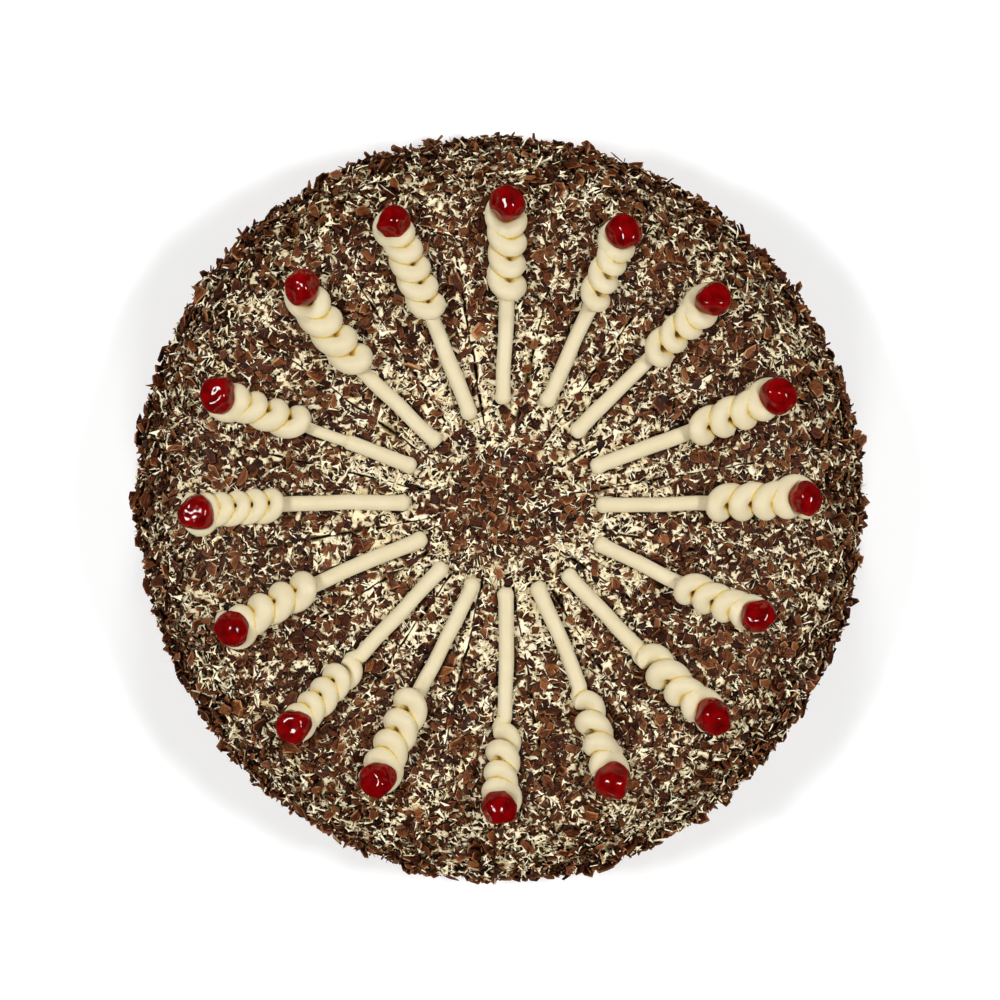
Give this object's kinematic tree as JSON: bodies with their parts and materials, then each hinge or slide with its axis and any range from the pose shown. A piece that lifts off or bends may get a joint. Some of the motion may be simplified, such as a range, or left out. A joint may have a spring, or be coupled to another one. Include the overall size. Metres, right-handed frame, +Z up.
{
  "type": "cream torte",
  "caption": "Round domed cream torte in a coat of chocolate flakes, cut into equal wedges, each with a looped line of piped cream that ends in a glazed cherry.",
  "frame": {"origin": "under the middle of the torte's base, on the surface it stands on", "axes": "+Z up out of the torte's top, +Y towards the portion at the far side, +X to the right of it, along the middle of the first portion"},
  "size_m": [0.2718, 0.278, 0.0767],
  "materials": {
    "flaked_cream_coat": "matte cream closely covered with dark chocolate flakes",
    "piped_cream": "smooth satin",
    "glazed_cherry": "wet gloss"
  },
  "bodies": {
    "root": {"slice_01": "flaked_cream_coat", "slice_02": "flaked_cream_coat", "slice_03": "flaked_cream_coat", "slice_04": "flaked_cream_coat", "slice_05": "flaked_cream_coat", "slice_06": "flaked_cream_coat", "slice_07": "flaked_cream_coat", "slice_08": "flaked_cream_coat", "slice_09": "flaked_cream_coat", "slice_10": "flaked_cream_coat", "slice_11": "flaked_cream_coat", "slice_12": "flaked_cream_coat", "slice_13": "flaked_cream_coat", "slice_14": "flaked_cream_coat", "slice_15": "flaked_cream_coat", "slice_16": "flaked_cream_coat", "piped_cream_01": "piped_cream", "piped_cream_02": "piped_cream", "piped_cream_03": "piped_cream", "piped_cream_04": "piped_cream", "piped_cream_05": "piped_cream", "piped_cream_06": "piped_cream", "piped_cream_07": "piped_cream", "piped_cream_08": "piped_cream", "piped_cream_09": "piped_cream", "piped_cream_10": "piped_cream", "piped_cream_11": "piped_cream", "piped_cream_12": "piped_cream", "piped_cream_13": "piped_cream", "piped_cream_14": "piped_cream", "piped_cream_15": "piped_cream", "piped_cream_16": "piped_cream", "cherry_01": "glazed_cherry", "cherry_02": "glazed_cherry", "cherry_03": "glazed_cherry", "cherry_04": "glazed_cherry", "cherry_05": "glazed_cherry", "cherry_06": "glazed_cherry", "cherry_07": "glazed_cherry", "cherry_08": "glazed_cherry", "cherry_09": "glazed_cherry", "cherry_10": "glazed_cherry", "cherry_11": "glazed_cherry", "cherry_12": "glazed_cherry", "cherry_13": "glazed_cherry", "cherry_14": "glazed_cherry", "cherry_15": "glazed_cherry", "cherry_16": "glazed_cherry"}
  },
  "joints": []
}
